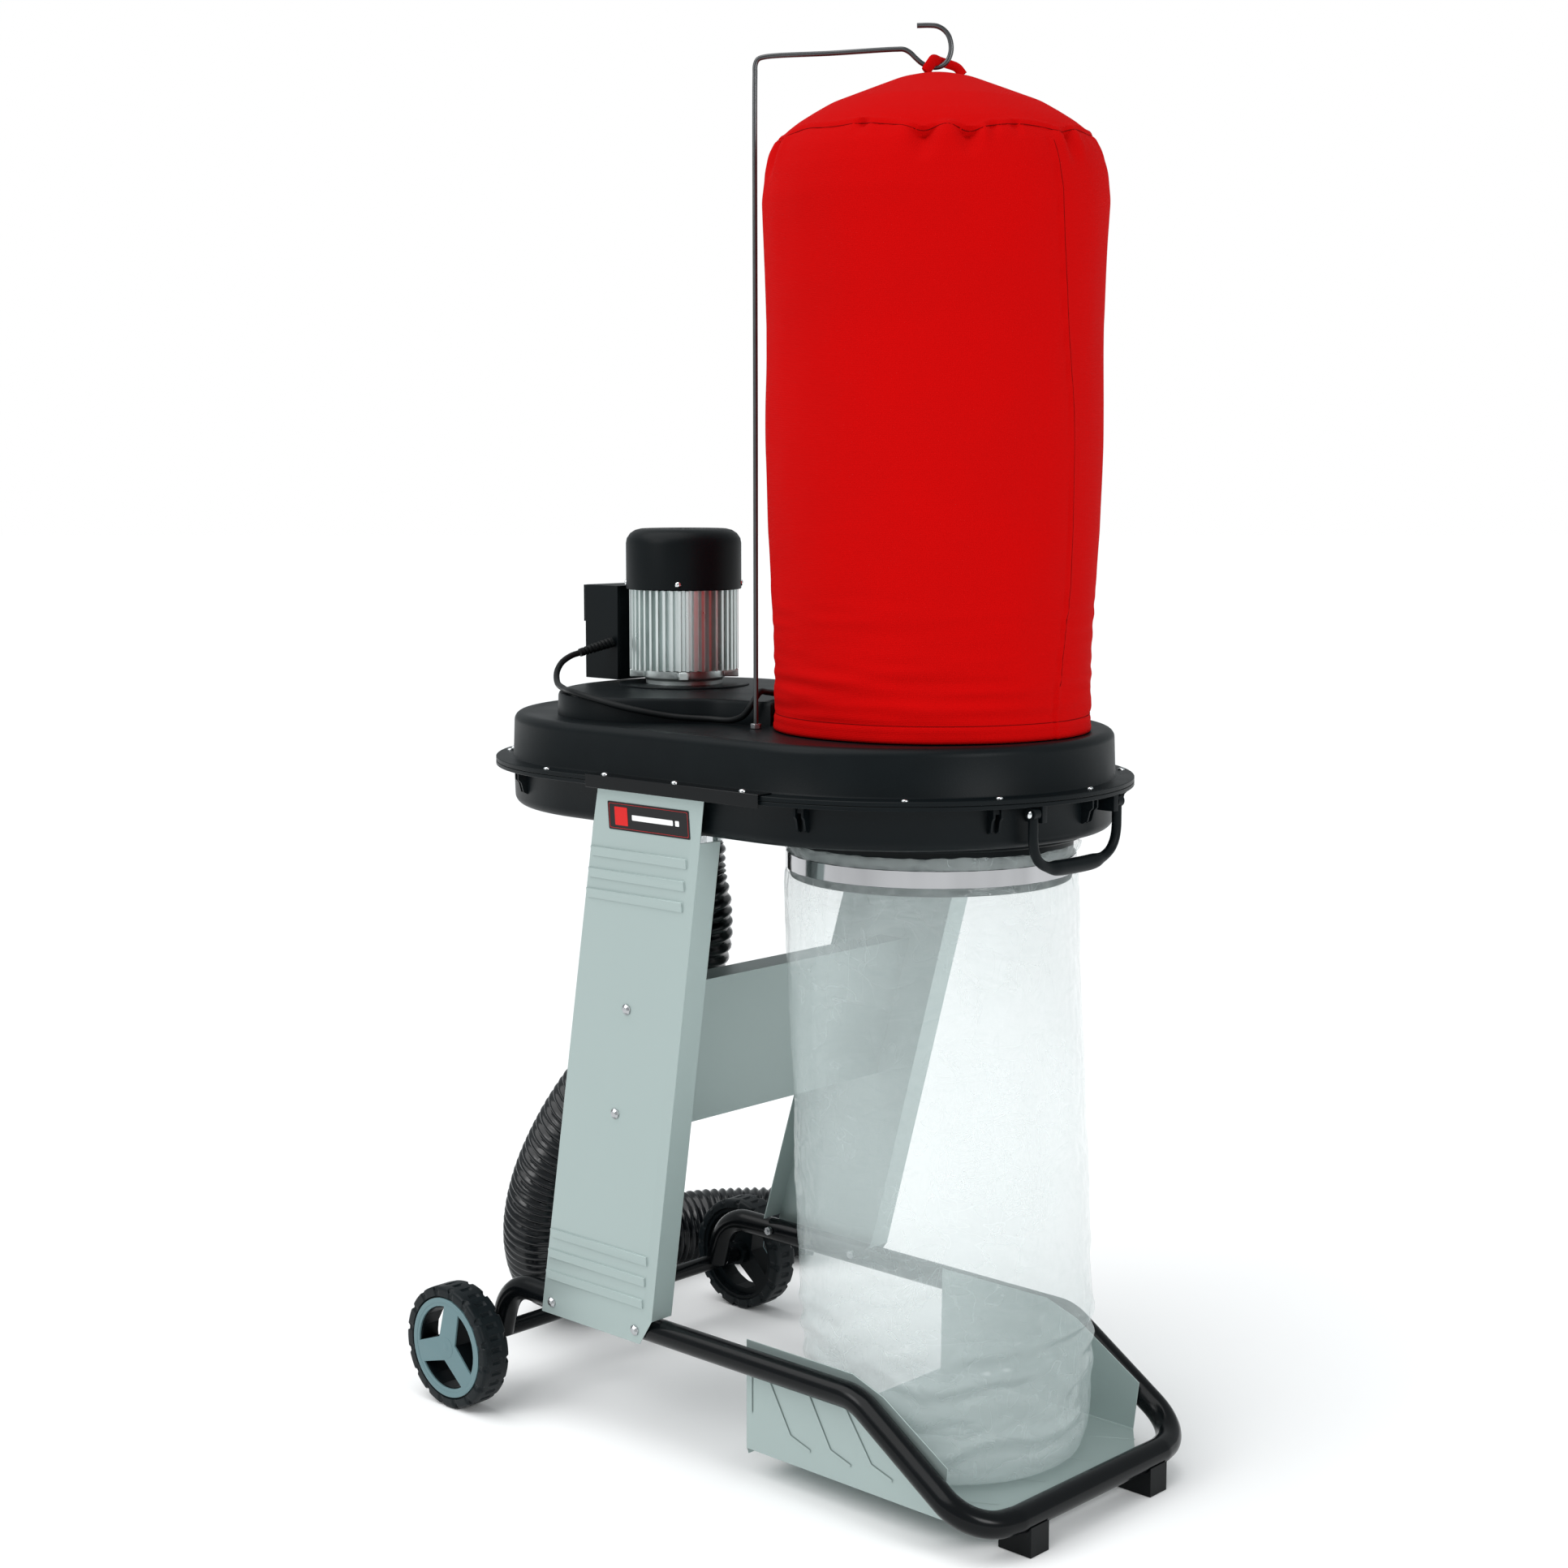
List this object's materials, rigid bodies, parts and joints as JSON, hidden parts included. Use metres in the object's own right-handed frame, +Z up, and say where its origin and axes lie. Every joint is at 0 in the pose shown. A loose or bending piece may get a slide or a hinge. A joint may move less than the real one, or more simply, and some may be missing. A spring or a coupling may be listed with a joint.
{
  "type": "dust collector",
  "caption": "Wheeled workshop dust collector: top fan motor on an oblong housing, upright cloth filter bag above a clear collection bag, folded sheet legs, suction hose and mains lead.",
  "frame": {"origin": "on the floor, under the centre of the machine's bounding box, hose and mains lead left out", "axes": "+Z up; +X from the wheels to the bag tray; +Y to the side away from the name panel"},
  "size_m": [1.1324, 0.8403, 1.7499],
  "materials": {
    "frame_black": "gloss black powder coat",
    "sheet_steel": "satin silver paint on folded sheet",
    "plastic_black": "satin",
    "rubber": "matt",
    "tyre": "knobbed tread",
    "hub_grey": "satin",
    "cast_aluminium": "as cast",
    "steel": "plain",
    "bright_steel": "bright plated",
    "copper_iron": "laminated iron with copper windings",
    "red_fabric": "needle felt",
    "clear_film": "clear polythene film",
    "button_green": "satin",
    "button_red": "satin",
    "hose_black": "ribbed, satin"
  },
  "bodies": {
    "chassis": {"rubber_foot_near": "rubber", "side_leg_near": "sheet_steel", "flange_rail_near": "frame_black", "tube_bolt_near_rear": "steel", "tube_bolt_near_front": "steel", "panel_bolt_near_upper": "steel", "panel_bolt_near_lower": "steel", "rubber_foot_far": "rubber", "side_leg_far": "sheet_steel", "flange_rail_far": "frame_black", "tube_bolt_far_rear": "steel", "tube_bolt_far_front": "steel", "panel_bolt_far_upper": "steel", "panel_bolt_far_lower": "steel", "base_frame_tube": "frame_black", "axle_tube": "frame_black", "axle_rod": "steel", "cross_panel": "sheet_steel", "dust_tray": "sheet_steel", "lower_housing": "plastic_black", "upper_housing": "plastic_black", "fan_scroll": "plastic_black", "stator_core": "copper_iron", "lower_bearing": "steel", "upper_bearing": "steel", "motor_body": "cast_aluminium", "drive_end_shield": "cast_aluminium", "fan_end_shield": "cast_aluminium", "fan_cover": "plastic_black", "switch_box": "plastic_black", "switch_box_lid": "plastic_black", "run_capacitor": "cast_aluminium", "filter_bag": "red_fabric", "hanging_loop": "red_fabric", "hanger_rod": "steel", "rod_nut": "steel", "collection_bag": "clear_film", "clamp_band": "bright_steel", "suction_hose": "hose_black", "hose_clamp": "bright_steel", "hose_connector": "plastic_black", "power_cord": "rubber", "cord_strain_relief": "rubber", "cord_coil": "rubber", "power_plug": "rubber"},
    "wheel_near": {"wheel_rim_near": "plastic_black", "tyre_near": "tyre", "wheel_cover_near": "hub_grey"},
    "wheel_far": {"wheel_rim_far": "plastic_black", "tyre_far": "tyre", "wheel_cover_far": "hub_grey"},
    "rotor": {"motor_shaft": "steel", "rotor_core": "copper_iron", "fan_impeller": "cast_aluminium", "impeller_nut": "steel", "cooling_fan": "plastic_black"},
    "handle": {"carry_handle": "plastic_black"},
    "clamp_lever": {"clamp_lever": "bright_steel"},
    "start_button": {"start_button": "button_green"},
    "stop_button": {"stop_button": "button_red"}
  },
  "joints": [
    {"name": "wheel_spin_near", "type": "hinge", "parent": "chassis", "child": "wheel_near", "pos_m": [-0.3845, -0.27, 0.0815], "axis": [0, 1, 0], "continuous": true},
    {"name": "wheel_spin_far", "type": "hinge", "parent": "chassis", "child": "wheel_far", "pos_m": [-0.3845, 0.27, 0.0815], "axis": [0, 1, 0], "continuous": true},
    {"name": "fan_spin", "type": "hinge", "parent": "chassis", "child": "rotor", "pos_m": [-0.229, 0, 1], "axis": [0, 0, 1], "continuous": true},
    {"name": "handle_lift", "type": "hinge", "parent": "chassis", "child": "handle", "pos_m": [0.414, 0, 0.847], "axis": [0, -1, 0], "range_deg": [0, 85]},
    {"name": "clamp_open", "type": "hinge", "parent": "chassis", "child": "clamp_lever", "pos_m": [0.016, 0, 0.766], "axis": [0, 0, 1], "range_deg": [0, 110]},
    {"name": "start_press", "type": "slide", "parent": "chassis", "child": "start_button", "axis": [1, 0, 0], "range_m": [0, 0.003], "stiffness_N_per_m": 400, "springref_m": -0.001},
    {"name": "stop_press", "type": "slide", "parent": "chassis", "child": "stop_button", "axis": [1, 0, 0], "range_m": [0, 0.004], "stiffness_N_per_m": 400, "springref_m": -0.001}
  ]
}
